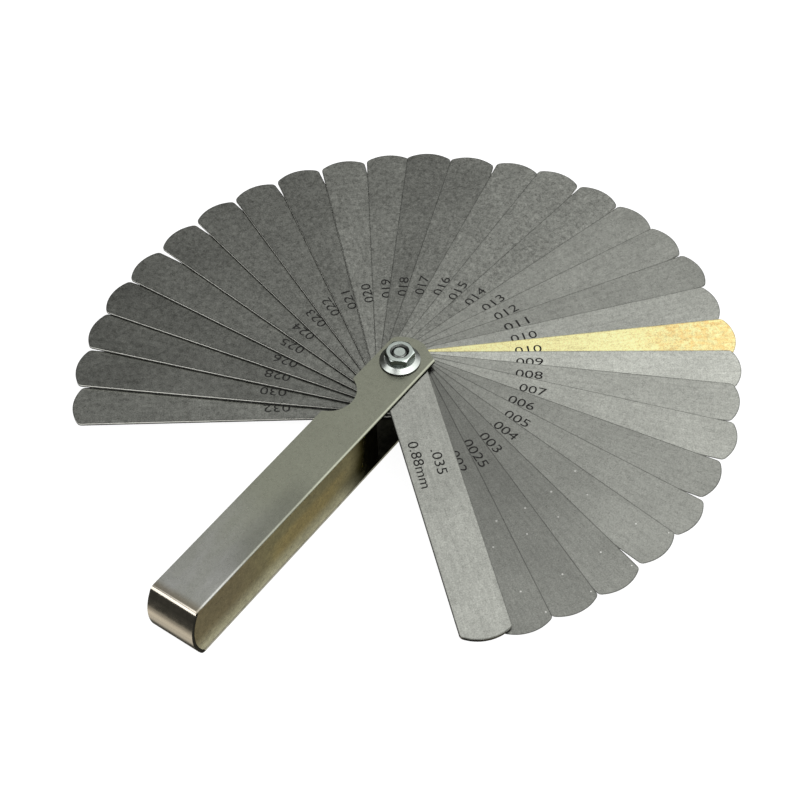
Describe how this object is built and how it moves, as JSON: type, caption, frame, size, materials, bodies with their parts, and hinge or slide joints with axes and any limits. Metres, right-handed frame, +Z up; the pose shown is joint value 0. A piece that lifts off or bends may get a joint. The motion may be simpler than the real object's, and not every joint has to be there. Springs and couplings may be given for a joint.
{
  "type": "feeler gauge",
  "caption": "Feeler gauge: thickness leaves fanned out on one bolt and nut, folding into a channel-shaped sheet steel case with a bowed end and a thumb scallop.",
  "frame": {"origin": "centre of the bolt head's underside, on the axis that all the leaves turn on", "axes": "+Z up along the bolt towards the nut; the case runs along -Y from the bolt; its closed side is at +X and its open side at -X"},
  "size_m": [0.1783, 0.1841, 0.0225],
  "materials": {
    "case_steel": "satin sheet steel, olive grey, polished at the folds",
    "leaf_steel": "satin hardened strip with a fine grain across the leaf",
    "leaf_steel_dark": "satin hardened strip, a little darker",
    "leaf_steel_pale": "satin hardened strip, paler, with bright edges",
    "leaf_brass": "rolled brass strip",
    "zinc": "bright zinc plate"
  },
  "bodies": {
    "root": {"case": "case_steel", "bolt": "zinc", "washer": "zinc", "nut": "zinc"},
    "leaf_032_body": {"leaf_032": "leaf_steel_dark"},
    "leaf_030_body": {"leaf_030": "leaf_steel_dark"},
    "leaf_028_body": {"leaf_028": "leaf_steel_dark"},
    "leaf_026_body": {"leaf_026": "leaf_steel_dark"},
    "leaf_025_body": {"leaf_025": "leaf_steel_dark"},
    "leaf_024_body": {"leaf_024": "leaf_steel_dark"},
    "leaf_023_body": {"leaf_023": "leaf_steel_dark"},
    "leaf_022_body": {"leaf_022": "leaf_steel_dark"},
    "leaf_021_body": {"leaf_021": "leaf_steel_dark"},
    "leaf_020_body": {"leaf_020": "leaf_steel_dark"},
    "leaf_019_body": {"leaf_019": "leaf_steel_dark"},
    "leaf_018_body": {"leaf_018": "leaf_steel_dark"},
    "leaf_017_body": {"leaf_017": "leaf_steel"},
    "leaf_016_body": {"leaf_016": "leaf_steel"},
    "leaf_015_body": {"leaf_015": "leaf_steel"},
    "leaf_014_body": {"leaf_014": "leaf_steel"},
    "leaf_013_body": {"leaf_013": "leaf_steel"},
    "leaf_012_body": {"leaf_012": "leaf_steel"},
    "leaf_011_body": {"leaf_011": "leaf_steel"},
    "leaf_010_body": {"leaf_010": "leaf_steel"},
    "leaf_010_brass_body": {"leaf_010_brass": "leaf_brass"},
    "leaf_009_body": {"leaf_009": "leaf_steel"},
    "leaf_008_body": {"leaf_008": "leaf_steel"},
    "leaf_007_body": {"leaf_007": "leaf_steel"},
    "leaf_006_body": {"leaf_006": "leaf_steel"},
    "leaf_005_body": {"leaf_005": "leaf_steel"},
    "leaf_004_body": {"leaf_004": "leaf_steel"},
    "leaf_003_body": {"leaf_003": "leaf_steel"},
    "leaf_0025_body": {"leaf_0025": "leaf_steel"},
    "leaf_002_body": {"leaf_002": "leaf_steel"},
    "leaf_0015_body": {"leaf_0015": "leaf_steel"},
    "leaf_035_body": {"leaf_035": "leaf_steel_pale"}
  },
  "joints": [
    {"name": "leaf_032_swing", "type": "hinge", "parent": "root", "child": "leaf_032_body", "pos_m": [0, 0, 0.00353], "axis": [0, 0, -1], "range_deg": [-53.5, 266.5]},
    {"name": "leaf_030_swing", "type": "hinge", "parent": "root", "child": "leaf_030_body", "pos_m": [0, 0, 0.00439], "axis": [0, 0, -1], "range_deg": [-62.1, 257.9]},
    {"name": "leaf_028_swing", "type": "hinge", "parent": "root", "child": "leaf_028_body", "pos_m": [0, 0, 0.00521], "axis": [0, 0, -1], "range_deg": [-70.8, 249.2]},
    {"name": "leaf_026_swing", "type": "hinge", "parent": "root", "child": "leaf_026_body", "pos_m": [0, 0, 0.00597], "axis": [0, 0, -1], "range_deg": [-79.2, 240.8]},
    {"name": "leaf_025_swing", "type": "hinge", "parent": "root", "child": "leaf_025_body", "pos_m": [0, 0, 0.00669], "axis": [0, 0, -1], "range_deg": [-87.8, 232.2]},
    {"name": "leaf_024_swing", "type": "hinge", "parent": "root", "child": "leaf_024_body", "pos_m": [0, 0, 0.00739], "axis": [0, 0, -1], "range_deg": [-97, 223]},
    {"name": "leaf_023_swing", "type": "hinge", "parent": "root", "child": "leaf_023_body", "pos_m": [0, 0, 0.00806], "axis": [0, 0, -1], "range_deg": [-106, 214]},
    {"name": "leaf_022_swing", "type": "hinge", "parent": "root", "child": "leaf_022_body", "pos_m": [0, 0, 0.0087], "axis": [0, 0, -1], "range_deg": [-114.8, 205.2]},
    {"name": "leaf_021_swing", "type": "hinge", "parent": "root", "child": "leaf_021_body", "pos_m": [0, 0, 0.00933], "axis": [0, 0, -1], "range_deg": [-123.8, 196.2]},
    {"name": "leaf_020_swing", "type": "hinge", "parent": "root", "child": "leaf_020_body", "pos_m": [0, 0, 0.00992], "axis": [0, 0, -1], "range_deg": [-132.8, 187.2]},
    {"name": "leaf_019_swing", "type": "hinge", "parent": "root", "child": "leaf_019_body", "pos_m": [0, 0, 0.01049], "axis": [0, 0, -1], "range_deg": [-141.7, 178.3]},
    {"name": "leaf_018_swing", "type": "hinge", "parent": "root", "child": "leaf_018_body", "pos_m": [0, 0, 0.01104], "axis": [0, 0, -1], "range_deg": [-149.6, 170.4]},
    {"name": "leaf_017_swing", "type": "hinge", "parent": "root", "child": "leaf_017_body", "pos_m": [0, 0, 0.01156], "axis": [0, 0, -1], "range_deg": [-158.2, 161.8]},
    {"name": "leaf_016_swing", "type": "hinge", "parent": "root", "child": "leaf_016_body", "pos_m": [0, 0, 0.01205], "axis": [0, 0, -1], "range_deg": [-167.2, 152.8]},
    {"name": "leaf_015_swing", "type": "hinge", "parent": "root", "child": "leaf_015_body", "pos_m": [0, 0, 0.01252], "axis": [0, 0, -1], "range_deg": [-175.4, 144.6]},
    {"name": "leaf_014_swing", "type": "hinge", "parent": "root", "child": "leaf_014_body", "pos_m": [0, 0, 0.01296], "axis": [0, 0, -1], "range_deg": [-184.4, 135.6]},
    {"name": "leaf_013_swing", "type": "hinge", "parent": "root", "child": "leaf_013_body", "pos_m": [0, 0, 0.01338], "axis": [0, 0, -1], "range_deg": [-193.2, 126.8]},
    {"name": "leaf_012_swing", "type": "hinge", "parent": "root", "child": "leaf_012_body", "pos_m": [0, 0, 0.01377], "axis": [0, 0, -1], "range_deg": [-201.5, 118.5]},
    {"name": "leaf_011_swing", "type": "hinge", "parent": "root", "child": "leaf_011_body", "pos_m": [0, 0, 0.01414], "axis": [0, 0, -1], "range_deg": [-210.3, 109.7]},
    {"name": "leaf_010_swing", "type": "hinge", "parent": "root", "child": "leaf_010_body", "pos_m": [0, 0, 0.01448], "axis": [0, 0, -1], "range_deg": [-218.9, 101.1]},
    {"name": "leaf_010_brass_swing", "type": "hinge", "parent": "root", "child": "leaf_010_brass_body", "pos_m": [0, 0, 0.01481], "axis": [0, 0, -1], "range_deg": [-227.4, 92.6]},
    {"name": "leaf_009_swing", "type": "hinge", "parent": "root", "child": "leaf_009_body", "pos_m": [0, 0, 0.01513], "axis": [0, 0, -1], "range_deg": [-235.1, 84.9]},
    {"name": "leaf_008_swing", "type": "hinge", "parent": "root", "child": "leaf_008_body", "pos_m": [0, 0, 0.01542], "axis": [0, 0, -1], "range_deg": [-243, 77]},
    {"name": "leaf_007_swing", "type": "hinge", "parent": "root", "child": "leaf_007_body", "pos_m": [0, 0, 0.01568], "axis": [0, 0, -1], "range_deg": [-251.8, 68.2]},
    {"name": "leaf_006_swing", "type": "hinge", "parent": "root", "child": "leaf_006_body", "pos_m": [0, 0, 0.01592], "axis": [0, 0, -1], "range_deg": [-260.8, 59.2]},
    {"name": "leaf_005_swing", "type": "hinge", "parent": "root", "child": "leaf_005_body", "pos_m": [0, 0, 0.01614], "axis": [0, 0, -1], "range_deg": [-269.8, 50.2]},
    {"name": "leaf_004_swing", "type": "hinge", "parent": "root", "child": "leaf_004_body", "pos_m": [0, 0, 0.01633], "axis": [0, 0, -1], "range_deg": [-278.1, 41.9]},
    {"name": "leaf_003_swing", "type": "hinge", "parent": "root", "child": "leaf_003_body", "pos_m": [0, 0, 0.01649], "axis": [0, 0, -1], "range_deg": [-287.3, 32.7]},
    {"name": "leaf_0025_swing", "type": "hinge", "parent": "root", "child": "leaf_0025_body", "pos_m": [0, 0, 0.01664], "axis": [0, 0, -1], "range_deg": [-295.8, 24.2]},
    {"name": "leaf_002_swing", "type": "hinge", "parent": "root", "child": "leaf_002_body", "pos_m": [0, 0, 0.01677], "axis": [0, 0, -1], "range_deg": [-304.1, 15.9]},
    {"name": "leaf_0015_swing", "type": "hinge", "parent": "root", "child": "leaf_0015_body", "pos_m": [0, 0, 0.01689], "axis": [0, 0, -1], "range_deg": [-310.6, 9.4]},
    {"name": "leaf_035_swing", "type": "hinge", "parent": "root", "child": "leaf_035_body", "pos_m": [0, 0, 0.01743], "axis": [0, 0, -1], "range_deg": [-310.7, 9.3]}
  ]
}
